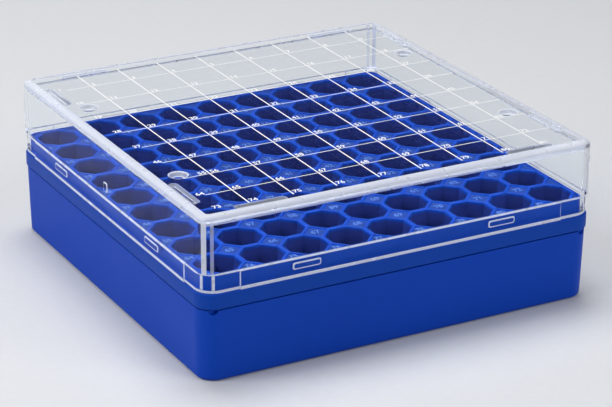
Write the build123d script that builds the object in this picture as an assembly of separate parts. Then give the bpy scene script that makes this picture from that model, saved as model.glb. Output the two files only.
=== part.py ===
from build123d import *
import math
import os

# Two-inch cryogenic storage box: a blue tray, a blue 81-well rack that snaps into it, and a clear lid.
# Millimetres. The origin is the centre of the underside, +Z is up, and -Y is the front face.

# Outside of the closed box
BOX_WIDTH = 132.0
CORNER_RADIUS = 5.6
SEAM_Z = 22.3
RIM_Z = 27.5
STEP_Z = 33.3
LID_TOP_Z = 50.9

# Wells: regular octagons on a square grid, flats facing the walls
PITCH = 14.0
WELLS_PER_SIDE = 9
WELL_WIDTH = 12.4
WELL_WALL = PITCH - WELL_WIDTH

# Tray
FLOOR = 2.0
TRAY_HALF = 65.6
TRAY_WALL = 1.8
TRAY_DRAFT = 0.4
TRAY_EDGE_RADIUS = 1.4
NOTCH_X = 62.1
NOTCH_RADIUS = 1.3
NOTCH_DEPTH = 1.4
DRAIN_RADIUS = 2.0

# Rack
RACK_GAP = 0.1
RACK_BOTTOM = FLOOR + 0.4
RACK_TOP = 32.5
COLLAR_HALF = 65.9
COLLAR_TOP = RIM_Z - 0.1
COLLAR_EDGE = 0.5
NECK_HALF = 63.7
PLUG_HALF = 63.5
NECK_RADIUS = 3.2
WEB_RECESS = 0.4
WEB_RIM = 1.0
WEB_THICKNESS = 1.6
POST_WALL = 1.2
BUMP_PROUD = 0.25
BUMP_LENGTH = 8.0
BUMP_HEIGHT = 1.2

# Lid
SKIRT_HALF = 65.5
SKIRT_WALL = 1.4
SKIRT_CHAMFER = 0.25
WALL_HALF = 65.3
WALL = 1.8
WALL_CORNER = 3.4
TOP_EDGE_RADIUS = 2.0
INNER_STEP_Z = STEP_Z - 0.5
PANEL_HALF_LENGTH = 53.7
PANEL_PROUD = 0.25
PANEL_EDGE = 0.2
BEAD_HEIGHT = 1.0
BEAD_PROUD = BOX_WIDTH / 2 - SKIRT_HALF - PANEL_PROUD
BEAD_EDGE = 0.2
DETENT_OFFSET = 32.7
DETENT_Z = 31.1
DETENT_LENGTH = 9.2
DETENT_HEIGHT = 2.2
DETENT_PROUD = 0.2
DETENT_CORNER = 0.6
DETENT_EDGE = 0.15
POCKET_CLEARANCE = 0.2
DETAIL_DEPTH = 1.0
GATE_WIDTH = 2.6
GATE_HEIGHT = 3.0
GATE_Z = 37.0
GATE_PROUD = 0.3

# Plate of the lid's top, sunk inside a raised rim
PLATE_Z = LID_TOP_Z - 0.4
PLATE_HALF = 62.9
PLATE_CORNER = 1.2
CEILING_Z = PLATE_Z - 2.0
CEILING_EDGE = 1.0
GROOVE_OFFSET = 61.0
GROOVE_CENTRE = 45.0
GROOVE_LENGTH = 16.5
GROOVE_WIDTH = 2.6
GROOVE_DEPTH = 0.9
DIMPLE_X = 56.4
DIMPLE_Y = 31.7
DIMPLE_TOP_RADIUS = 3.1
DIMPLE_BOTTOM_RADIUS = 1.7
DIMPLE_DEPTH = 1.3

SIDES = (0, 90, 180, 270)


def rounded_block(half, radius, low, high):
    """A square block with rounded vertical edges."""
    face = RectangleRounded(2 * half, 2 * half, radius)
    return Pos(0, 0, low) * extrude(face, high - low)


def square_block(half, low, high):
    """A square block with sharp vertical edges."""
    return Pos(0, 0, low) * extrude(Rectangle(2 * half, 2 * half), high - low)


def edges_at(solid, height):
    """The edges that lie wholly at one height."""
    return solid.edges().filter_by_position(Axis.Z, height, height)


def on_sides(piece):
    """One copy of a piece on each of the four sides."""
    return [Rot(0, 0, angle) * piece for angle in SIDES]


def well_centres(step=1):
    """Centres of the wells along one axis."""
    middle = (WELLS_PER_SIDE - 1) / 2
    return [(index - middle) * PITCH for index in range(0, WELLS_PER_SIDE, step)]


def make_tray():
    """Open tray with drafted walls, a rounded lower edge, pry notches and drain holes."""
    low = RectangleRounded(2 * (TRAY_HALF - TRAY_DRAFT), 2 * (TRAY_HALF - TRAY_DRAFT), CORNER_RADIUS)
    high = Pos(0, 0, SEAM_Z) * RectangleRounded(2 * TRAY_HALF, 2 * TRAY_HALF, CORNER_RADIUS)
    outside = loft([low, high])
    outside = fillet(edges_at(outside, 0), TRAY_EDGE_RADIUS)
    inside = TRAY_HALF - TRAY_WALL
    tray = outside - rounded_block(inside, CORNER_RADIUS - TRAY_WALL, FLOOR, SEAM_Z + 1)
    for x in (-NOTCH_X, NOTCH_X):
        for y in (-TRAY_HALF, TRAY_HALF):
            notch = Rot(90, 0, 0) * Cylinder(NOTCH_RADIUS, 2 * NOTCH_DEPTH)
            tray -= Pos(x, y, SEAM_Z) * notch
    for x in well_centres(4):
        for y in well_centres(4):
            tray -= Pos(x, y, FLOOR / 2) * Cylinder(DRAIN_RADIUS, 2 * FLOOR)
    return tray


def lattice_half():
    """Half the width of the square that holds the wells."""
    return WELLS_PER_SIDE * PITCH / 2 - WELL_WALL / 2


def make_collar():
    """Frame around the wells: the plug in the tray, the collar band, and the neck inside the lid."""
    plug = rounded_block(PLUG_HALF, NECK_RADIUS, RACK_BOTTOM, SEAM_Z + 1)
    band = rounded_block(COLLAR_HALF, CORNER_RADIUS, SEAM_Z + RACK_GAP, COLLAR_TOP)
    band = chamfer(edges_at(band, COLLAR_TOP), COLLAR_EDGE)
    neck = rounded_block(NECK_HALF, NECK_RADIUS, COLLAR_TOP - 1, RACK_TOP)
    return plug + band + neck - square_block(lattice_half(), 0, RACK_TOP + 1)


def make_bumps():
    """Snap bumps on the neck, two on each side, that sit in the lid's detents."""
    bump = Box(BUMP_LENGTH, BUMP_PROUD, BUMP_HEIGHT)
    y = -NECK_HALF - BUMP_PROUD / 2
    pair = [Pos(x, y, DETENT_Z - 0.5) * bump for x in (-DETENT_OFFSET, DETENT_OFFSET)]
    return [copy for one in pair for copy in on_sides(one)]


def octagon_side():
    """Length of one side of a well."""
    return WELL_WIDTH * math.tan(math.radians(22.5))


def make_well_walls(turn):
    """The flat walls shared by neighbours, those that face X, turned by an angle about Z."""
    wall = Box(WELL_WALL, octagon_side(), RACK_TOP - RACK_BOTTOM)
    height = (RACK_TOP + RACK_BOTTOM) / 2
    walls = []
    for x in well_centres()[:-1]:
        for y in well_centres():
            walls.append(Rot(0, 0, turn) * Pos(x + PITCH / 2, y, height) * wall)
    return walls


def post_outline(apothem, tip):
    """A square stood on its corner, with its four tips cut off flat."""
    square = Rot(0, 0, 45) * Rectangle(2 * apothem, 2 * apothem)
    return square & Rectangle(2 * tip, 2 * tip)


def post_block(low, high):
    """The solid shape between four wells."""
    apothem = PITCH * math.sqrt(0.5) - WELL_WIDTH / 2
    tip = (PITCH - octagon_side()) / 2
    return Pos(0, 0, low) * extrude(post_outline(apothem, tip), high - low)


def make_post():
    """Hollow post between four wells, closed on top by a recessed web."""
    apothem = PITCH * math.sqrt(0.5) - WELL_WIDTH / 2
    recess = Rot(0, 0, 45) * Rectangle(2 * (apothem - WEB_RIM), 2 * (apothem - WEB_RIM))
    hollow = Rot(0, 0, 45) * Rectangle(2 * (apothem - POST_WALL), 2 * (apothem - POST_WALL))
    post = post_block(RACK_BOTTOM, RACK_TOP)
    post -= Pos(0, 0, RACK_TOP - WEB_RECESS) * extrude(recess, 1)
    return post - extrude(hollow, RACK_TOP - WEB_RECESS - WEB_THICKNESS)


def post_places():
    """Places of the full posts along one axis: between two wells."""
    return [x + PITCH / 2 for x in well_centres()[:-1]]


def make_posts():
    """All the posts that stand between four wells."""
    post = make_post()
    return [Pos(x, y, 0) * post for x in post_places() for y in post_places()]


def make_edge_posts():
    """The half posts along the frame and the quarter posts in its corners."""
    edge = WELLS_PER_SIDE * PITCH / 2
    inside = square_block(lattice_half(), 0, RACK_TOP + 1)
    posts = []
    for x in post_places():
        half_post = Pos(x, -edge, 0) * post_block(RACK_BOTTOM, RACK_TOP)
        posts += on_sides(half_post & inside)
    corner = Pos(-edge, -edge, 0) * post_block(RACK_BOTTOM, RACK_TOP)
    return posts + on_sides(corner & inside)


def skirt_details():
    """What stands proud of the skirt on the front side: middle panel, lower bead and detent pads."""
    height = STEP_Z - RIM_Z
    face = -SKIRT_HALF + DETAIL_DEPTH / 2 - PANEL_PROUD
    panel = Pos(0, face, RIM_Z + height / 2) * Box(2 * PANEL_HALF_LENGTH, DETAIL_DEPTH, height)
    panel = fillet(panel.edges().filter_by(Axis.Z).group_by(Axis.Y)[0], PANEL_EDGE)
    bead = Box(2 * PANEL_HALF_LENGTH, DETAIL_DEPTH, BEAD_HEIGHT)
    bead = Pos(0, face - BEAD_PROUD, RIM_Z + BEAD_HEIGHT / 2) * bead
    bead = fillet(bead.edges().filter_by(Axis.X).group_by(Axis.Y)[0], BEAD_EDGE)
    details = panel + bead
    for x in (-DETENT_OFFSET, DETENT_OFFSET):
        pad = extrude(RectangleRounded(DETENT_LENGTH, DETENT_HEIGHT, DETENT_CORNER), DETAIL_DEPTH)
        pad = chamfer(pad.edges().group_by(Axis.Z)[-1], DETENT_EDGE)
        y = face - DETENT_PROUD + DETAIL_DEPTH / 2
        details += Pos(x, y, DETENT_Z) * Rot(90, 0, 0) * pad
    return details


def detent_pockets():
    """Pockets inside the skirt on the front side that take the rack's snap bumps."""
    length = DETENT_LENGTH - 3 * POCKET_CLEARANCE
    pocket = Box(length, DETAIL_DEPTH, DETENT_HEIGHT - 2 * POCKET_CLEARANCE)
    y = -SKIRT_HALF + SKIRT_WALL
    return [Pos(x, y, DETENT_Z) * pocket for x in (-DETENT_OFFSET, DETENT_OFFSET)]


def stacking_grooves():
    """Cutters for the two shallow grooves along the front edge of the lid's plate."""
    groove = extrude(SlotOverall(GROOVE_LENGTH, GROOVE_WIDTH), GROOVE_DEPTH)
    places = (-GROOVE_CENTRE, GROOVE_CENTRE)
    return [Pos(x, -GROOVE_OFFSET, PLATE_Z - GROOVE_DEPTH) * groove for x in places]


def dimples():
    """Cutters for the four tapered dimples in the lid's plate."""
    dimple = Cone(DIMPLE_BOTTOM_RADIUS, DIMPLE_TOP_RADIUS, DIMPLE_DEPTH)
    places = [(x, y) for x in (-DIMPLE_X, DIMPLE_X) for y in (-DIMPLE_Y, DIMPLE_Y)]
    return [Pos(x, y, PLATE_Z - DIMPLE_DEPTH / 2) * dimple for x, y in places]


def make_lid():
    """Clear lid: a box open below, with a wider skirt, a sunk top plate, grooves and detents."""
    body = rounded_block(WALL_HALF, WALL_CORNER, RIM_Z, LID_TOP_Z)
    body = fillet(edges_at(body, LID_TOP_Z), TOP_EDGE_RADIUS)
    skirt = rounded_block(SKIRT_HALF, CORNER_RADIUS, RIM_Z, STEP_Z)
    lid = body & rounded_block(WALL_HALF, WALL_CORNER, STEP_Z, LID_TOP_Z)
    lid += chamfer(edges_at(skirt, STEP_Z), SKIRT_CHAMFER)
    lid += on_sides(skirt_details())
    lid += Pos(-WALL_HALF, 0, GATE_Z) * Box(2 * GATE_PROUD, GATE_WIDTH, GATE_HEIGHT)
    lid -= rounded_block(PLATE_HALF, PLATE_CORNER, PLATE_Z, LID_TOP_Z)
    for groove in stacking_grooves():
        lid -= on_sides(groove)
    lid -= dimples()
    cavity = rounded_block(WALL_HALF - WALL, WALL_CORNER - WALL, RIM_Z, CEILING_Z)
    lid -= fillet(edges_at(cavity, CEILING_Z), CEILING_EDGE)
    lid -= rounded_block(SKIRT_HALF - SKIRT_WALL, CORNER_RADIUS - SKIRT_WALL, RIM_Z, INNER_STEP_Z)
    for pocket in detent_pockets():
        lid -= on_sides(pocket)
    return lid


def write(name, shape):
    """Writes one node, a single solid or a group of separate solids."""
    if isinstance(shape, list):
        shape = Compound(children=[Solid(one.solid().wrapped) for one in shape])
    export_step(shape, f"parts/{name}.step")


os.makedirs("parts", exist_ok=True)
write("base_tray", make_tray())
write("rack_collar", make_collar())
write("rack_snap_bumps", make_bumps())
write("rack_walls_across", make_well_walls(0))
write("rack_walls_along", make_well_walls(90))
write("rack_posts", make_posts())
write("rack_edge_posts", make_edge_posts())
write("lid", make_lid())
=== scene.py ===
"""Looks for the cryogenic storage box: blue tray and rack, clear lid with a printed grid."""
import math

import bmesh
import bpy
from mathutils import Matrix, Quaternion, Vector


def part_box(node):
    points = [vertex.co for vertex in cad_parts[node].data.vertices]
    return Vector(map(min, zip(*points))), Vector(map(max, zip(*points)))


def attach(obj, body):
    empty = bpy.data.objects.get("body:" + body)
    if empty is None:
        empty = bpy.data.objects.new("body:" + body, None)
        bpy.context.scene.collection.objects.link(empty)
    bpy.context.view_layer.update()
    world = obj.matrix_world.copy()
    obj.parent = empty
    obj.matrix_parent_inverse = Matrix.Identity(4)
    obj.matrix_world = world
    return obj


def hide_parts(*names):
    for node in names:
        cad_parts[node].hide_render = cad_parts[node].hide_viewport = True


MM = 0.001

# Sizes in millimetres that the solids don't carry by themselves
PITCH = 14.0
WELLS = 9
WELL_HALF = 6.2
WELL_DRAFT = 0.15
MOUTH_DRAFT = 0.02
MOUTH_BAND = 0.6
RIDGE_LIP = 0.35
LIP_STEPS = 5
LATTICE_HALF = WELLS * PITCH / 2
WEB_DROP = 0.4
PRINT_SHIFT = 1.05
PRINT_LEFT = -56.4
PRINT_RIGHT = 60.2
PRINT_REACH_Y = 60.0
LINE_WIDTH_ALONG = 0.42
LINE_WIDTH_ACROSS = 0.3
INK_HEIGHT = 0.03
LABEL_HEIGHT = 1.95
LABEL_BOLD = 0.05
RAISED_LABEL_HEIGHT = 2.1
RAISED_LABEL_BOLD = 0.06
RAISED_LABEL_DEPTH = 0.2
RAISED_LABEL_LIFT = 0.08
FONT_SIZE_PER_HEIGHT = 1.38

# Where numbers start, from the lower left corner of their cell
EDGE_LABEL = 0.5
RAISED_LABEL_LEFT = 0.6
RAISED_DIGIT_HALF = 0.4
RAISED_LABEL_DOWN = 0.9
LABEL_RIGHT = 0.7
LABEL_RIGHT_LAST = 0.3
LABEL_PAST_GROOVE = 3.2
LABEL_PAST_DIMPLE = 10.8
DIMPLE_ROW = 2
LABEL_UP = 0.5
LABEL_UP_FRONT = 3.9

# Rack sections, half widths, corner radius and heights
SEAM_Z = 22.4
COLLAR_Z = 27.4
RIDGE_HALF = 63.12
NECK_HALF = 63.7
NECK_RADIUS = 3.2
PLUG_HALF = 63.5

# Lid sections, half widths and heights
TOP_Z = 50.9
RIM_Z = 27.5
STEP_Z = 33.3
WALL_HALF = 65.3
WALL_CORNER = 3.4
SKIRT_CORNER_HALF = 65.5
SKIRT_PANEL_HALF = 65.75
SKIRT_INSIDE = 64.1
SKIRT_INSIDE_CORNER = 4.2
WALL_INSIDE = 63.5
WALL_INSIDE_CORNER = 1.6
INNER_STEP_Z = STEP_Z - 0.5
INNER_STEP_EDGE = 0.1
CORNER_RADIUS = 5.6
PANEL_RUN = 53.7
PANEL_RAMP = 0.3
TOP_FILLET = 2.0
PLATE_Z = 50.5
PLATE_HALF = 62.9
PLATE_CORNER = 1.2
CEILING_Z = 48.5
CEILING_FILLET = 1.0
CEILING_STEPS = 4
BEAD_HEIGHT = 1.0
BEAD_PROUD = 0.25
BEAD_EDGE = 0.2
BEAD_SLOPE = 0.25
DETENT_RUN = 32.7
DETENT_Z = 31.1
DETENT_SIZE = (9.2, 2.2)
GROOVE_OFFSET = 61.0
GROOVE_RUN = 45.0
GROOVE_SIZE = (16.5, 2.6)
DIMPLE_PLACES = [(x, y) for x in (-56.4, 56.4) for y in (-31.7, 31.7)]
DIMPLE_RADIUS = 3.1
GATE_Z = 37.0
GATE_SIZE = (2.6, 3.0)
GATE_CORNER = 0.4
GATE_SIDE = 2

# How far out of the ridge and how high each ring down to a web lies
WEB_RINGS = [(0.10, -0.04), (0.24, 0.06 - WEB_DROP), (0.40, -WEB_DROP)]

# How far in and how high each ring from the lid's rim down to its plate lies
PLATE_RINGS = [(0, TOP_Z), (0.08, TOP_Z - 0.08), (0.15, PLATE_Z + 0.08), (0.25, PLATE_Z)]

# How far in and how high each ring of a raised or sunk mark lies,
# and which of the bands between the rings take the fainter painted highlight
DETENT_RINGS = [(0, 0), (0.05, 0.08), (0.12, 0.17), (0.42, 0.2)]
GATE_RINGS = [(0, 0), (0.06, 0.15), (0.16, 0.26), (0.3, 0.3)]
GROOVE_RINGS = [(-0.15, 0), (0.4, -0.1), (0.5, -0.6), (0.62, -0.86), (0.85, -0.9)]
GROOVE_SOFTER_LIT = (0, 1, 2)
DIMPLE_RINGS = [(0, 0), (0.4, -0.12), (0.5, -0.3), (1.1, -1.1), (1.3, -1.25), (1.4, -1.3)]
DIMPLE_SOFTER_LIT = (2,)

# Places in the rack's list of materials
RIDGE_FACE = 0
# Wells and webs take darker blues, partly their own tone and partly painted shade in these recesses
WELL_FACE = 1
WEB_FACE = 2

# Places in the lid's list of materials
CLEAR_FACE = 0
# The second and third materials are painted highlights, full and fainter
HIGHLIGHT_FACE = 1
SOFT_HIGHLIGHT_FACE = 2

# The corners of each side of a block, which are numbered by x first, then y, then z
BLOCK_SIDES = [(0, 2, 3, 1), (4, 5, 7, 6), (0, 1, 5, 4), (2, 6, 7, 3), (0, 4, 6, 2), (1, 3, 7, 5)]

# How close to the lattice's outer edge a point counts as on it, in millimetres
ON_EDGE = 0.002

# Edges sharper than this many degrees stay crisp
RACK_SHARP = 32
LID_SHARP = 35

# Points along each side of a ring round the lid, and strips round each of its corners
RUN_POINTS = 6
CORNER_STRIPS = 10

# Which strips carry a painted highlight or a fainter one, and which stretches beside a side's
# middle panel carry a painted highlight
WALL_LIT_STRIPS = (3, 4, 5)
WALL_SOFTER_LIT_STRIPS = (8, 9)
SKIRT_LIT_STRIPS = (3, 7)
PANEL_ENDS = (1, 3)

# Refractive indices. The lid's two are far below real polycarbonate's 1.58, because
# higher ones drew dark lines inside its rim and down its corners.
BLUE_IOR = 1.5
CLEAR_IOR = 1.09
HIGHLIGHT_IOR = 1.3

# Room, lamps and camera, in metres, watts and degrees. The lens and sensor are in millimetres.
# A softbox has a name, a place, a width, a height and a power.
FLOOR_HALF = 3.0
LAMP_TARGET = (0, 0, 0.03)
SOFTBOXES = [
    ("key_softbox", (-0.85, 0.05, 0.65), 0.6, 0.45, 7),
    ("top_softbox", (0.05, 0.25, 0.95), 0.6, 0.5, 7),
    ("front_softbox", (0.45, -0.85, 0.5), 0.6, 0.4, 4.5),
]
ROOM_COLOUR = (0.75, 0.78, 0.82, 1)
ROOM_STRENGTH = 0.12
CAMERA_AZIMUTH = -28.75
CAMERA_ELEVATION = 22.43
CAMERA_ROLL = 0.41
CAMERA_DISTANCE = 0.752
CAMERA_TARGET = (0.00016, -0.0050, 0.0210)
CAMERA_LENS = 142.1
CAMERA_SENSOR = 36.0

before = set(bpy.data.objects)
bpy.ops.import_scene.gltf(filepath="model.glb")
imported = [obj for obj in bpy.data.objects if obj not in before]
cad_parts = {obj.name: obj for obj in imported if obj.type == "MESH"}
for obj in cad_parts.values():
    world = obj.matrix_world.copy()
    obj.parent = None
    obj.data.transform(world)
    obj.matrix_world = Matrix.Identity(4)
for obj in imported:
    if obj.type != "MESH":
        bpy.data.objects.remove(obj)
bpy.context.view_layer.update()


# ---------------------------------------------------------------- materials

def new_material(name):
    """A material with a Principled shader, and its node tree."""
    material = bpy.data.materials.new(name)
    material.use_nodes = True
    tree = material.node_tree
    return material, tree, tree.nodes["Principled BSDF"]


def add_bump(tree, shader, scale, strength, distance, detail=6.0):
    """Fine unevenness from noise in object space.

    Gives the node that holds the coordinates, and the noise's output.
    """
    place = tree.nodes.new("ShaderNodeTexCoord")
    noise = tree.nodes.new("ShaderNodeTexNoise")
    bump = tree.nodes.new("ShaderNodeBump")
    noise.inputs["Scale"].default_value = scale
    noise.inputs["Detail"].default_value = detail
    bump.inputs["Strength"].default_value = strength
    bump.inputs["Distance"].default_value = distance
    tree.links.new(place.outputs["Object"], noise.inputs["Vector"])
    tree.links.new(noise.outputs["Fac"], bump.inputs["Height"])
    tree.links.new(bump.outputs["Normal"], shader.inputs["Normal"])
    return place, noise.outputs["Fac"]


def roughness_between(tree, shader, source, low, high):
    """Roughness that follows a noise output from a low to a high value."""
    node = tree.nodes.new("ShaderNodeMapRange")
    node.inputs["From Min"].default_value = 0.3
    node.inputs["From Max"].default_value = 0.7
    node.inputs["To Min"].default_value = low
    node.inputs["To Max"].default_value = high
    tree.links.new(source, node.inputs["Value"])
    tree.links.new(node.outputs["Result"], shader.inputs["Roughness"])


def colour_between(tree, shader, source, first, second):
    """Base colour that follows a noise output from one colour to another."""
    mix = tree.nodes.new("ShaderNodeMix")
    mix.data_type = "RGBA"
    mix.inputs["A"].default_value = (*first, 1)
    mix.inputs["B"].default_value = (*second, 1)
    tree.links.new(source, mix.inputs["Factor"])
    tree.links.new(mix.outputs["Result"], shader.inputs["Base Color"])


def blue_plastic(name, deep, light, rough_low, rough_high):
    """Moulded blue polycarbonate: satin sheen, faint flow marks and fine texture."""
    material, tree, shader = new_material(name)
    place = add_bump(tree, shader, scale=900.0, strength=0.06, distance=0.0002)[0]
    flow = tree.nodes.new("ShaderNodeTexNoise")
    flow.inputs["Scale"].default_value = 28.0
    flow.inputs["Detail"].default_value = 3.0
    tree.links.new(place.outputs["Object"], flow.inputs["Vector"])
    colour_between(tree, shader, flow.outputs["Fac"], deep, light)
    roughness_between(tree, shader, flow.outputs["Fac"], rough_low, rough_high)
    shader.inputs["IOR"].default_value = BLUE_IOR
    shader.inputs["Specular IOR Level"].default_value = 0.1
    return material


def let_lamps_through(tree, shader, tint):
    """Clear plastic casts only a faint shadow."""
    output = next(node for node in tree.nodes if node.type == "OUTPUT_MATERIAL")
    path = tree.nodes.new("ShaderNodeLightPath")
    passing = tree.nodes.new("ShaderNodeBsdfTransparent")
    mix = tree.nodes.new("ShaderNodeMixShader")
    passing.inputs["Color"].default_value = (*tint, 1)
    tree.links.new(path.outputs["Is Shadow Ray"], mix.inputs[0])
    tree.links.new(shader.outputs["BSDF"], mix.inputs[1])
    tree.links.new(passing.outputs["BSDF"], mix.inputs[2])
    tree.links.new(mix.outputs["Shader"], output.inputs["Surface"])


def clear_plastic(name):
    """Clear polycarbonate with faint surface waviness."""
    material, tree, shader = new_material(name)
    waves = add_bump(tree, shader, scale=40.0, strength=0.01, distance=0.00005, detail=1.0)[1]
    roughness_between(tree, shader, waves, 0.0, 0.02)
    let_lamps_through(tree, shader, (0.70, 0.73, 0.80))
    shader.inputs["Base Color"].default_value = (0.97, 0.985, 1.0, 1)
    shader.inputs["Transmission Weight"].default_value = 1.0
    shader.inputs["IOR"].default_value = CLEAR_IOR
    return material


def painted_highlight_plastic(name, colour, see_through):
    """The lid's moulded edges, painted pale as a stand-in for the highlights that light draws on
    the clear plastic.
    """
    material, tree, shader = new_material(name)
    waves = add_bump(tree, shader, scale=200.0, strength=0.02, distance=0.00005, detail=1.0)[1]
    roughness_between(tree, shader, waves, 0.25, 0.35)
    shader.inputs["Base Color"].default_value = (*colour, 1)
    shader.inputs["Transmission Weight"].default_value = see_through
    shader.inputs["IOR"].default_value = HIGHLIGHT_IOR
    # A faint painted glow, which helps the pale edges read as highlights
    shader.inputs["Emission Color"].default_value = (0.85, 0.9, 1.0, 1)
    shader.inputs["Emission Strength"].default_value = 0.03
    let_lamps_through(tree, shader, (0.85, 0.87, 0.9))
    return material


def white_ink(name):
    """Screen-printed white ink, slightly uneven."""
    material, tree, shader = new_material(name)
    grain = add_bump(tree, shader, scale=1500.0, strength=0.1, distance=0.0001)[1]
    colour_between(tree, shader, grain, (0.78, 0.79, 0.8), (0.93, 0.93, 0.92))
    shader.inputs["Roughness"].default_value = 0.45
    return material


def floor_paper(name):
    """Pale matt paper."""
    material, tree, shader = new_material(name)
    grain = add_bump(tree, shader, scale=400.0, strength=0.05, distance=0.0002)[1]
    colour_between(tree, shader, grain, (0.60, 0.61, 0.63), (0.64, 0.65, 0.67))
    shader.inputs["Roughness"].default_value = 0.6
    return material


TRAY_BLUE = blue_plastic("tray_blue", (0.001, 0.046, 0.40), (0.002, 0.052, 0.44), 0.40, 0.52)
RACK_BLUE = blue_plastic("rack_blue", (0.002, 0.046, 0.34), (0.003, 0.053, 0.38), 0.40, 0.52)
# Darker blues for the wells and the sunk webs: partly their own tone, partly painted shade in these
# hollows
WELL_BLUE_AND_SHADE = blue_plastic("rack_well_blue_and_shade", (0.013, 0.030, 0.20), (0.017, 0.036, 0.23), 0.45, 0.58)
WEB_BLUE_AND_SHADE = blue_plastic("rack_web_blue_and_shade", (0.010, 0.042, 0.22), (0.013, 0.048, 0.25), 0.50, 0.62)
NUMERAL_BLUE = blue_plastic("rack_numeral_blue", (0.08, 0.16, 0.44), (0.09, 0.18, 0.49), 0.40, 0.52)
CLEAR = clear_plastic("lid_clear")
# Painted highlights: pale plastic on the lid's edges, corner strips and mark outlines; the second
# is fainter and more see-through
PAINTED_HIGHLIGHT = painted_highlight_plastic("lid_painted_highlight", (0.66, 0.69, 0.77), 0.2)
SOFT_PAINTED_HIGHLIGHT = painted_highlight_plastic("lid_soft_painted_highlight", (0.70, 0.74, 0.84), 0.7)
INK = white_ink("print_white")
PAPER = floor_paper("floor_pale")


def dress(piece, material):
    """Gives a piece one material."""
    piece.data.materials.clear()
    piece.data.materials.append(material)


# ---------------------------------------------------------------- mesh helpers

def new_piece(name, mesh_data, material, body):
    """Turns a bmesh into a named piece that rides on a body."""
    mesh = bpy.data.meshes.new(name)
    mesh_data.to_mesh(mesh)
    mesh_data.free()
    piece = bpy.data.objects.new(name, mesh)
    bpy.context.scene.collection.objects.link(piece)
    mesh.materials.append(material)
    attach(piece, body)
    return piece


def add_block(mesh, low, high):
    """Adds a closed block between two corners, in millimetres."""
    points = []
    for z in (low[2], high[2]):
        for y in (low[1], high[1]):
            points += [mesh.verts.new(Vector((x, y, z)) * MM) for x in (low[0], high[0])]
    for side in BLOCK_SIDES:
        mesh.faces.new([points[index] for index in side])


def smooth_by_angle(piece, degrees):
    """Smooth shading, with edges sharper than an angle kept crisp."""
    piece.data.shade_smooth()
    piece.data.set_sharp_from_angle(angle=math.radians(degrees))
    weighted = piece.modifiers.new("flat_faces_first", "WEIGHTED_NORMAL")
    weighted.keep_sharp = True


# ---------------------------------------------------------------- rack

def octagon(half, height):
    """The eight corners of a well's outline, from the +X flat's lower corner, anticlockwise."""
    radius = half / math.cos(math.radians(22.5))
    angles = [math.radians(-22.5 + 45 * index) for index in range(8)]
    return [(radius * math.cos(a), radius * math.sin(a), height) for a in angles]


def well_profile(top, bottom):
    """Half widths and heights of a well's wall, from its foot to the flat ridge round its mouth."""
    mouth = top - RIDGE_LIP - MOUTH_BAND
    profile = [(WELL_HALF - WELL_DRAFT, bottom), (WELL_HALF - MOUTH_DRAFT, mouth)]
    for index in range(LIP_STEPS + 1):
        turn = math.radians(90 * index / LIP_STEPS)
        half = WELL_HALF + RIDGE_LIP * (1 - math.cos(turn))
        profile.append((half, top - RIDGE_LIP * (1 - math.sin(turn))))
    profile.append((PITCH / 2, top))
    return profile


def web_profile(top):
    """Distance from the well's axis and height, from the ridge down to the recessed web."""
    return [(PITCH / 2 + outwards, top + height) for outwards, height in WEB_RINGS]


class Shell:
    """A mesh built from named points, so that neighbours share them."""

    def __init__(self):
        self.mesh = bmesh.new()
        self.points = {}
        self.material = CLEAR_FACE

    def point(self, place):
        """The vertex at a place in millimetres, made once and then reused."""
        key = tuple(round(value, 3) for value in place)
        if key not in self.points:
            self.points[key] = self.mesh.verts.new(Vector(place) * MM)
        return self.points[key]

    def face(self, places):
        """One face in the current material, without repeated points."""
        corners = []
        for place in places:
            corner = self.point(place)
            if corner not in corners:
                corners.append(corner)
        if len(corners) > 2 and not self.mesh.faces.get(corners):
            self.mesh.faces.new(corners).material_index = self.material

    def band(self, low, high):
        """Faces between two closed rows of points of the same length."""
        count = len(low)
        for index in range(count):
            after = (index + 1) % count
            self.face([low[index], low[after], high[after], high[index]])

    def fill(self, loops):
        """Fills a flat region bounded by an outer loop and any holes."""
        edges = []
        for loop in loops:
            corners = [self.point(place) for place in loop]
            for ends in zip(corners, corners[1:] + corners[:1]):
                if ends[0] != ends[1]:
                    edges.append(self.mesh.edges.get(ends) or self.mesh.edges.new(ends))
        bmesh.ops.triangle_fill(self.mesh, edges=edges, use_beauty=True)


def cell_corner(sign_x, sign_y, distance, height):
    """The diagonal line at a distance from the well's axis, cut off by the cell's two sides."""
    side = PITCH / 2
    reach = distance * math.sqrt(2) - side
    return [(sign_x * side, sign_y * reach, height), (sign_x * reach, sign_y * side, height)]


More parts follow.
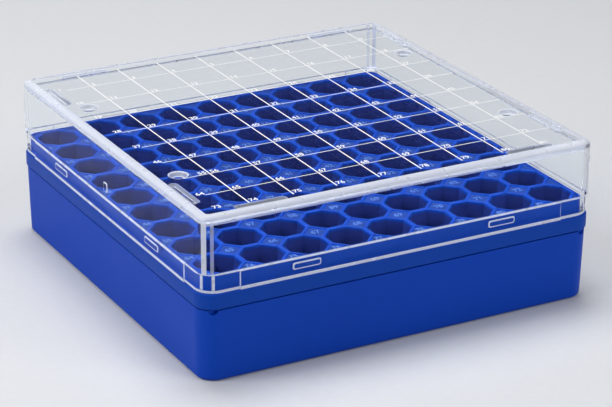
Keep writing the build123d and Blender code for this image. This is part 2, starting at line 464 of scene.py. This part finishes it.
def add_well(shell, x, y, top, bottom):
    """One well with its share of the ridges and webs around it."""
    def at(places):
        return [(px + x, py + y, pz) for px, py, pz in places]

    rings = [at(octagon(half, height)) for half, height in well_profile(top, bottom)]
    # Well walls in the darker blue, which partly paints their shade
    shell.material = WELL_FACE
    shell.band(rings[0], rings[1])
    shell.material = RIDGE_FACE
    for low, high in zip(rings[1:], rings[2:]):
        shell.band(low, high)
    foot = octagon(WELL_HALF - WELL_DRAFT, bottom)
    rim = octagon(PITCH / 2, bottom)
    for side in range(0, 8, 2):
        shell.face(at([foot[side], foot[side + 1], rim[side + 1], rim[side]]))
    for sign_x, sign_y, side in ((1, 1, 1), (-1, 1, 3), (-1, -1, 5), (1, -1, 7)):
        first = cell_corner(sign_x, sign_y, PITCH / 2, top)
        for distance, height in web_profile(top):
            second = cell_corner(sign_x, sign_y, distance, height)
            shell.face(at([first[0], first[1], second[1], second[0]]))
            first = second
        tip = (sign_x * PITCH / 2, sign_y * PITCH / 2)
        web = along(first[0], (*tip, first[0][2])) + along((*tip, first[0][2]), first[1])[1:]
        # The sunk web in its darker blue, which partly paints its shade
        shell.material = WEB_FACE
        shell.face(at(web))
        shell.material = RIDGE_FACE
        ends = [foot[side], foot[(side + 1) % 8]]
        low = cell_corner(sign_x, sign_y, PITCH / 2, bottom)
        near = min(ends, key=lambda place: abs(place[1] - low[0][1]) + abs(place[0] - low[0][0]))
        far = ends[1] if near == ends[0] else ends[0]
        floor_web = [(px, py, bottom) for px, py, pz in web]
        shell.face(at([near, low[0]] + floor_web + [low[1], far]))


def along(start, end, parts=6):
    """Points on a straight line, ends included."""
    a, b = Vector(start), Vector(end)
    return [tuple(a.lerp(b, index / parts)) for index in range(parts + 1)]


def on_lattice_edge(place):
    """Whether a point lies on the lattice's square outer edge."""
    return abs(max(abs(place[0]), abs(place[1])) - LATTICE_HALF) < ON_EDGE


def lattice_edge(shell, lowest):
    """The outer points of the lattice above a height, in order round the box."""
    rim = {}
    for x, y, z in shell.points:
        if on_lattice_edge((x, y)) and z > lowest:
            rim[(x, y)] = z
    return [(*key, rim[key]) for key in sorted(rim, key=lambda key: math.atan2(key[1], key[0]))]


def push_out(place, half, radius, height):
    """Moves a point of the lattice's square edge to a rounded square of another size."""
    flat = half - radius
    x, y = place[0], place[1]
    swap = abs(y) > abs(x)
    run = abs(x) if swap else abs(y)
    if run <= flat:
        far, near = half, run
    else:
        turn = math.radians(45) * (run - flat) / (LATTICE_HALF - flat)
        far, near = flat + radius * math.cos(turn), flat + radius * math.sin(turn)
    if swap:
        return (math.copysign(near, x), math.copysign(far, y), height)
    return (math.copysign(far, x), math.copysign(near, y), height)


def round_corners(shell):
    """Rounds the lattice's corners in every layer, so that they stay inside neck and plug."""
    for place, corner in shell.points.items():
        if on_lattice_edge(place):
            corner.co = Vector(push_out(place, LATTICE_HALF, NECK_RADIUS, place[2])) * MM


def rack_outline(top, bottom, band_half):
    """Half widths, corner radii and heights down the rack's outside, with its edges rounded."""
    neck = [
        (RIDGE_HALF, NECK_RADIUS, top),
        (NECK_HALF - 0.35, NECK_RADIUS, top),
        (NECK_HALF - 0.1, NECK_RADIUS, top - 0.09),
        (NECK_HALF, NECK_RADIUS, top - 0.35),
        (NECK_HALF, NECK_RADIUS, COLLAR_Z + 0.3),
        (NECK_HALF + 0.1, NECK_RADIUS + 0.2, COLLAR_Z + 0.06),
        (NECK_HALF + 0.4, NECK_RADIUS + 0.4, COLLAR_Z),
    ]
    band = [
        (band_half - 0.5, CORNER_RADIUS - 0.4, COLLAR_Z),
        (band_half - 0.15, CORNER_RADIUS - 0.1, COLLAR_Z - 0.12),
        (band_half, CORNER_RADIUS, COLLAR_Z - 0.5),
        (band_half, CORNER_RADIUS, SEAM_Z + 0.7),
        (band_half - 0.15, CORNER_RADIUS, SEAM_Z + 0.4),
        (band_half - 0.5, CORNER_RADIUS - 0.3, SEAM_Z + 0.15),
        (band_half - 1.2, CORNER_RADIUS - 1.0, SEAM_Z),
    ]
    plug = [(PLUG_HALF, NECK_RADIUS, SEAM_Z), (PLUG_HALF, NECK_RADIUS, bottom)]
    return neck + band + plug


def make_rack():
    """The rack as one moulding: wells, ridges, webs, neck, collar band and plug."""
    low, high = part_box("rack_collar")
    top, bottom = high.z / MM, low.z / MM
    shell = Shell()
    centres = [(index - (WELLS - 1) / 2) * PITCH for index in range(WELLS)]
    for x in centres:
        for y in centres:
            add_well(shell, x, y, top, bottom)
    round_corners(shell)
    upper = lattice_edge(shell, top - 1)
    first = upper
    for half, radius, height in rack_outline(top, bottom, high.x / MM):
        second = [push_out(place, half, radius, height) for place in upper]
        shell.band(first, second)
        first = second
    shell.band(first, [(x, y, bottom) for x, y, z in upper])
    mesh = shell.mesh
    bmesh.ops.remove_doubles(mesh, verts=mesh.verts, dist=0.000001)
    bmesh.ops.recalc_face_normals(mesh, faces=mesh.faces)
    rack = new_piece("rack_moulding", mesh, RACK_BLUE, "rack")
    rack.data.materials.append(WELL_BLUE_AND_SHADE)
    rack.data.materials.append(WEB_BLUE_AND_SHADE)
    smooth_by_angle(rack, RACK_SHARP)
    walls = ("rack_walls_across", "rack_walls_along")
    nodes = ("rack_collar", *walls, "rack_posts", "rack_edge_posts")
    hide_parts(*nodes)
    return top


# ---------------------------------------------------------------- lid

def turned(x, y, side):
    """A point turned about the upright axis, by a quarter turn for each side."""
    turn = math.radians(90 * side)
    return x * math.cos(turn) - y * math.sin(turn), x * math.sin(turn) + y * math.cos(turn)


def round_ring(panel_half, corner_half, radius, height):
    """Points round the lid. The middle of each side may stand out further than its ends."""
    flat = corner_half - radius
    ring = []
    for side in range(4):
        ramp = (-PANEL_RUN - PANEL_RAMP, corner_half)
        runs = [(-flat, corner_half), ramp, (-PANEL_RUN, panel_half)]
        runs += [(-run, half) for run, half in reversed(runs)]
        places = [(half, run) for run, half in runs]
        for index in range(1, CORNER_STRIPS):
            angle = math.radians(90 * index / CORNER_STRIPS)
            places.append((flat + radius * math.cos(angle), flat + radius * math.sin(angle)))
        ring += [(*turned(x, y, side), height) for x, y in places]
    return ring


def stadium(width, height, steps=6):
    """Outline of a rounded bar, centred on the origin; a circle where both sizes are equal."""
    radius = min(width, height) / 2
    reach = max(width, height) / 2 - radius
    points = []
    for centre, start in ((reach, -90), (-reach, 90)):
        for index in range(steps + 1):
            angle = math.radians(start + 180 * index / steps)
            points.append((centre + radius * math.cos(angle), radius * math.sin(angle)))
    return points


def rounded_bar(width, height, radius=0.6, steps=3):
    """Outline of a rectangle with rounded corners, centred on the origin."""
    points = []
    for sign_x, sign_y, start in ((1, 1, 0), (-1, 1, 90), (-1, -1, 180), (1, -1, 270)):
        for index in range(steps + 1):
            angle = math.radians(start + 90 * index / steps)
            x = sign_x * (width / 2 - radius) + radius * math.cos(angle)
            y = sign_y * (height / 2 - radius) + radius * math.sin(angle)
            points.append((x, y))
    return points


def scaled(outline, inset):
    """The outline moved inwards by about the inset."""
    reach_x = max(abs(x) for x, y in outline)
    reach_y = max(abs(y) for x, y in outline)
    return [(x * (reach_x - inset) / reach_x, y * (reach_y - inset) / reach_y) for x, y in outline]


def highlight_bands(shell, rings, softer_lit=()):
    """Bands between neighbouring rings, painted as highlights, fainter on those listed."""
    for index, (low, high) in enumerate(zip(rings, rings[1:])):
        shell.material = SOFT_HIGHLIGHT_FACE if index in softer_lit else HIGHLIGHT_FACE
        shell.band(low, high)
    shell.material = CLEAR_FACE


def add_mark(shell, outline, rings, place, softer_lit=()):
    """A raised or sunk mark with softened edges, whose edges are painted as highlights. place(u, v,
    height) gives the point on the lid.
    """
    rows = [[place(u, v, height) for u, v in scaled(outline, inset)] for inset, height in rings]
    highlight_bands(shell, rows, softer_lit)
    shell.face(rows[-1])
    return rows[0]


def side_place(side, half):
    """A function from run, height and lift to a point on one side of the lid."""
    def place(run, z, lift):
        return (*turned(half + lift, run, side), z)

    return place


def panel_quad(ring, side):
    """The two points of a ring at the ends of one side's middle panel."""
    start = side * (RUN_POINTS + CORNER_STRIPS - 1)
    return ring[start + 2], ring[start + 3]


def add_panel(shell, low, high, side, half, marks):
    """Fills one side's middle panel between two rings, with marks on it."""
    a, b = panel_quad(low, side)
    c, d = panel_quad(high, side)
    loops = [[a, b, d, c]]
    place = side_place(side, half)
    for outline, rings, run, z in marks:
        loops.append(add_mark(shell, outline, rings, lambda u, v, up: place(run + u, z + v, up)))
    shell.fill(loops)


def band_but_panels(shell, low, high, marks_of, half, lit_strips, softer_lit_strips):
    """A band round the lid: marked panels in the flat middles, and strips round the corners, some
    of them painted highlights.
    """
    count = len(low)
    for index in range(count):
        after = (index + 1) % count
        side, spot = divmod(index, RUN_POINTS + CORNER_STRIPS - 1)
        if spot == 2:
            add_panel(shell, low, high, side, half, marks_of(side))
            continue
        strip = spot - RUN_POINTS + 1
        # Painted highlight strips down the corners and beside the skirt's panels
        if strip in lit_strips or (half == SKIRT_PANEL_HALF and spot in PANEL_ENDS):
            shell.material = HIGHLIGHT_FACE
        else:
            shell.material = SOFT_HIGHLIGHT_FACE if strip in softer_lit_strips else CLEAR_FACE
        shell.face([low[index], low[after], high[after], high[index]])
    shell.material = CLEAR_FACE


def fillet_levels(half, radius, top, fillet, steps=6):
    """Half width, corner radius and height up a rounded top edge."""
    levels = []
    for index in range(steps + 1):
        turn = math.radians(90 * index / steps)
        inset = fillet * (1 - math.cos(turn))
        levels.append((half - inset, radius - inset, top - fillet * (1 - math.sin(turn))))
    return levels


def make_lid():
    """The clear lid as one closed shell, with painted highlights on its edges."""
    shell = Shell()
    bead_top = RIM_Z + BEAD_HEIGHT
    panel = SKIRT_PANEL_HALF
    proud = panel + BEAD_PROUD
    corner = SKIRT_CORNER_HALF
    bead = [
        (proud - BEAD_EDGE, corner - BEAD_EDGE, RIM_Z),
        (proud, corner, RIM_Z + BEAD_EDGE),
        (proud, corner, bead_top - BEAD_SLOPE),
        (panel + 0.08, corner, bead_top),
    ]
    rings = [round_ring(*level[:2], CORNER_RADIUS, level[2]) for level in bead]
    # Painted highlight on the bead round the rim
    highlight_bands(shell, rings)
    skirt_foot = round_ring(panel, corner, CORNER_RADIUS, bead_top + 0.1)
    skirt_head = round_ring(panel, corner, CORNER_RADIUS, STEP_Z - 0.25)
    shell.band(rings[-1], skirt_foot)
    detent = rounded_bar(*DETENT_SIZE)
    detents = [(detent, DETENT_RINGS, run, DETENT_Z) for run in (-DETENT_RUN, DETENT_RUN)]
    skirt = (skirt_foot, skirt_head, lambda side: detents)
    band_but_panels(shell, *skirt, panel, SKIRT_LIT_STRIPS, ())
    step_rings = [
        skirt_head,
        round_ring(panel - 0.08, corner - 0.07, CORNER_RADIUS, STEP_Z - 0.07),
        round_ring(panel - 0.25, corner - 0.1, CORNER_RADIUS - 0.2, STEP_Z),
        round_ring(WALL_HALF, WALL_HALF, WALL_CORNER, STEP_Z + 0.1),
        round_ring(WALL_HALF, WALL_HALF, WALL_CORNER, STEP_Z + 0.3),
    ]
    # Painted highlight on the step
    highlight_bands(shell, step_rings)
    levels = fillet_levels(WALL_HALF, WALL_CORNER, TOP_Z, TOP_FILLET)
    top_rings = [round_ring(half, half, radius, z) for half, radius, z in levels]
    gate = [(rounded_bar(*GATE_SIZE, GATE_CORNER), GATE_RINGS, 0, GATE_Z)]
    wall = (step_rings[-1], top_rings[0], lambda side: gate if side == GATE_SIDE else [])
    band_but_panels(shell, *wall, WALL_HALF, WALL_LIT_STRIPS, WALL_SOFTER_LIT_STRIPS)
    for inset, z in PLATE_RINGS:
        half = PLATE_HALF - inset
        top_rings.append(round_ring(half, half, PLATE_CORNER - inset, z))
    # Painted highlight round the top's rounded edge, fainter on its first two bands
    highlight_bands(shell, top_rings, softer_lit=(0, 1))
    add_plate(shell, top_rings[-1])
    add_inside(shell, rings[0])
    finish_lid(shell)


def groove_place(side, run):
    """A function from a groove's own run, offset and height to a point on the plate."""
    def place(u, v, up):
        return (*turned(GROOVE_OFFSET + v, run + u, side), PLATE_Z + up)

    return place


def dimple_place(x, y):
    """A function from a dimple's own x, y and height to a point on the plate."""
    def place(u, v, up):
        return (x + u, y + v, PLATE_Z + up)

    return place


def add_plate(shell, outline):
    """The sunk plate of the top with its grooves and dimples."""
    loops = [outline]
    groove = stadium(*GROOVE_SIZE)
    for side in range(4):
        for run in (-GROOVE_RUN, GROOVE_RUN):
            place = groove_place(side, run)
            loops.append(add_mark(shell, groove, GROOVE_RINGS, place, GROOVE_SOFTER_LIT))
    disc = stadium(2 * DIMPLE_RADIUS, 2 * DIMPLE_RADIUS, 12)
    for x, y in DIMPLE_PLACES:
        loops.append(add_mark(shell, disc, DIMPLE_RINGS, dimple_place(x, y), DIMPLE_SOFTER_LIT))
    shell.fill(loops)


def add_inside(shell, rim):
    """The hollow: inner skirt, inner step, inner wall and ceiling."""
    edge = INNER_STEP_EDGE
    levels = [
        (SKIRT_INSIDE, SKIRT_INSIDE_CORNER, RIM_Z),
        (SKIRT_INSIDE, SKIRT_INSIDE_CORNER, INNER_STEP_Z - edge),
        (SKIRT_INSIDE - edge, SKIRT_INSIDE_CORNER - edge, INNER_STEP_Z),
        (WALL_INSIDE, WALL_INSIDE_CORNER, INNER_STEP_Z + edge),
    ]
    walls = [rim] + [round_ring(half, half, radius, z) for half, radius, z in levels]
    for low, high in zip(walls, walls[1:]):
        shell.band(low, high)
    edge_of_ceiling = (CEILING_Z, CEILING_FILLET, CEILING_STEPS)
    levels = fillet_levels(WALL_INSIDE, WALL_INSIDE_CORNER, *edge_of_ceiling)
    ceiling = [round_ring(half, half, radius, z) for half, radius, z in levels]
    shell.band(walls[-1], ceiling[0])
    # Fainter painted highlight round the ceiling's rounded edge
    highlight_bands(shell, ceiling, softer_lit=range(len(ceiling)))
    shell.fill([ceiling[-1]])


def finish_lid(shell):
    """Normals, painted-highlight materials and shading for the lid."""
    mesh = shell.mesh
    bmesh.ops.recalc_face_normals(mesh, faces=mesh.faces)
    lid = new_piece("lid_shell", mesh, CLEAR, "lid")
    lid.data.materials.append(PAINTED_HIGHLIGHT)
    lid.data.materials.append(SOFT_PAINTED_HIGHLIGHT)
    smooth_by_angle(lid, LID_SHARP)
    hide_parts("lid")


# ---------------------------------------------------------------- numbers and lines

def number_mesh(label, height, depth, bold):
    """A flat number as a mesh, lower left corner at the origin, in metres."""
    curve = bpy.data.curves.new("number", "FONT")
    curve.body = label
    curve.size = height * FONT_SIZE_PER_HEIGHT * MM
    curve.extrude = depth / 2 * MM
    curve.offset = bold * MM
    curve.resolution_u = 3
    text = bpy.data.objects.new("number", curve)
    bpy.context.scene.collection.objects.link(text)
    bpy.context.view_layer.update()
    mesh = bpy.data.meshes.new_from_object(text)
    bpy.data.objects.remove(text)
    bpy.data.curves.remove(curve)
    return mesh


def make_numbers(name, places, height, depth, bold, material, body, slot):
    """All the numbers of one kind as one piece. Places are label, x, y and z in millimetres."""
    target = bmesh.new()
    for label, x, y, z in places:
        mesh = number_mesh(label, height, depth, bold)
        start = len(target.verts)
        target.from_mesh(mesh)
        target.verts.ensure_lookup_table()
        bmesh.ops.translate(target, verts=target.verts[start:], vec=Vector((x, y, z)) * MM)
        bpy.data.meshes.remove(mesh)
    return new_piece(name, target, material, body)


def well_number(row, column):
    """Wells count from 1 at the back left, row by row to the front right."""
    return str((WELLS - 1 - row) * WELLS + column + 1)


def make_rack_numbers(top):
    """A raised number on the web at the front left of each well."""
    places = []
    for row in range(WELLS):
        for column in range(WELLS):
            label = well_number(row, column)
            across = -RAISED_DIGIT_HALF * len(label) - RAISED_LABEL_LEFT
            x = column * PITCH - LATTICE_HALF + (across if column else EDGE_LABEL)
            y = row * PITCH - LATTICE_HALF + (-RAISED_LABEL_DOWN if row else EDGE_LABEL)
            places.append((label, x, y, top - WEB_DROP + RAISED_LABEL_LIFT))
    sizes = (RAISED_LABEL_HEIGHT, RAISED_LABEL_DEPTH, RAISED_LABEL_BOLD)
    make_numbers("rack_numbers", places, *sizes, NUMERAL_BLUE, "rack", "blue_rack_plastic")


def label_shift(row, column):
    """How far right of its cell's left line a printed number starts, clear of any mark."""
    if column == 0:
        return LABEL_PAST_DIMPLE if row == DIMPLE_ROW else LABEL_PAST_GROOVE
    return LABEL_RIGHT_LAST if column == WELLS - 1 else LABEL_RIGHT


def make_lid_print():
    """The printed grid on the lid's top, with a number in each cell."""
    mesh = bmesh.new()
    low = PLATE_Z + INK_HEIGHT / 2
    high = low + INK_HEIGHT
    along_half = LINE_WIDTH_ALONG / 2
    across_half = LINE_WIDTH_ACROSS / 2
    for index in range(1, WELLS):
        place = index * PITCH - LATTICE_HALF
        x, y = place + PRINT_SHIFT, place
        reach = PRINT_REACH_Y
        add_block(mesh, (x - along_half, -reach, low), (x + along_half, reach, high))
        add_block(mesh, (PRINT_LEFT, y - across_half, low), (PRINT_RIGHT, y + across_half, high))
    new_piece("lid_grid_lines", mesh, INK, "lid")
    places = []
    for row in range(WELLS):
        for column in range(WELLS):
            label = well_number(row, column)
            x = column * PITCH - LATTICE_HALF + PRINT_SHIFT + label_shift(row, column)
            y = row * PITCH - LATTICE_HALF + (LABEL_UP if row else LABEL_UP_FRONT)
            places.append((label, x, y, low + INK_HEIGHT / 2))
    sizes = (LABEL_HEIGHT, INK_HEIGHT, LABEL_BOLD)
    make_numbers("lid_numbers", places, *sizes, INK, "lid", "white_print")


# ---------------------------------------------------------------- stage

def make_floor():
    """A large flat pale floor."""
    mesh = bmesh.new()
    signs = ((-1, -1), (1, -1), (1, 1), (-1, 1))
    mesh.faces.new([mesh.verts.new((x * FLOOR_HALF, y * FLOOR_HALF, 0)) for x, y in signs])
    data = bpy.data.meshes.new("floor")
    mesh.to_mesh(data)
    mesh.free()
    floor = bpy.data.objects.new("floor", data)
    bpy.context.scene.collection.objects.link(floor)
    data.materials.append(PAPER)


def add_softbox(name, place, width, height, power):
    """A rectangular area light that faces the box."""
    light = bpy.data.lights.new(name, "AREA")
    light.shape = "RECTANGLE"
    light.size = width
    light.size_y = height
    light.energy = power
    lamp = bpy.data.objects.new(name, light)
    bpy.context.scene.collection.objects.link(lamp)
    lamp.location = place
    lamp.rotation_euler = (Vector(place) - Vector(LAMP_TARGET)).to_track_quat("Z", "Y").to_euler()


def make_lights():
    """Soft light from the left, from above and, weaker, from the front right, in a dim room."""
    for softbox in SOFTBOXES:
        add_softbox(*softbox)
    world = bpy.data.worlds.new("room")
    world.use_nodes = True
    background = world.node_tree.nodes["Background"]
    background.inputs["Color"].default_value = ROOM_COLOUR
    background.inputs["Strength"].default_value = ROOM_STRENGTH
    bpy.context.scene.world = world


def make_camera():
    """The camera looks down on the front left corner from about three quarters of a metre."""
    azimuth = math.radians(CAMERA_AZIMUTH)
    elevation = math.radians(CAMERA_ELEVATION)
    back = Vector((
        math.sin(azimuth) * math.cos(elevation),
        -math.cos(azimuth) * math.cos(elevation),
        math.sin(elevation),
    ))
    data = bpy.data.cameras.new("camera")
    data.sensor_width = CAMERA_SENSOR
    data.lens = CAMERA_LENS
    camera = bpy.data.objects.new("camera", data)
    bpy.context.scene.collection.objects.link(camera)
    camera.location = Vector(CAMERA_TARGET) + back * CAMERA_DISTANCE
    roll = Quaternion((0, 0, 1), math.radians(CAMERA_ROLL))
    camera.rotation_euler = (back.to_track_quat("Z", "Y") @ roll).to_euler()
    bpy.context.scene.camera = camera


# ---------------------------------------------------------------- assembly

dress(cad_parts["base_tray"], TRAY_BLUE)
dress(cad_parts["rack_snap_bumps"], RACK_BLUE)
rack_top = make_rack()
make_rack_numbers(rack_top)
make_lid()
make_lid_print()
make_floor()
make_lights()
make_camera()
bpy.context.scene.view_settings.view_transform = "Standard"
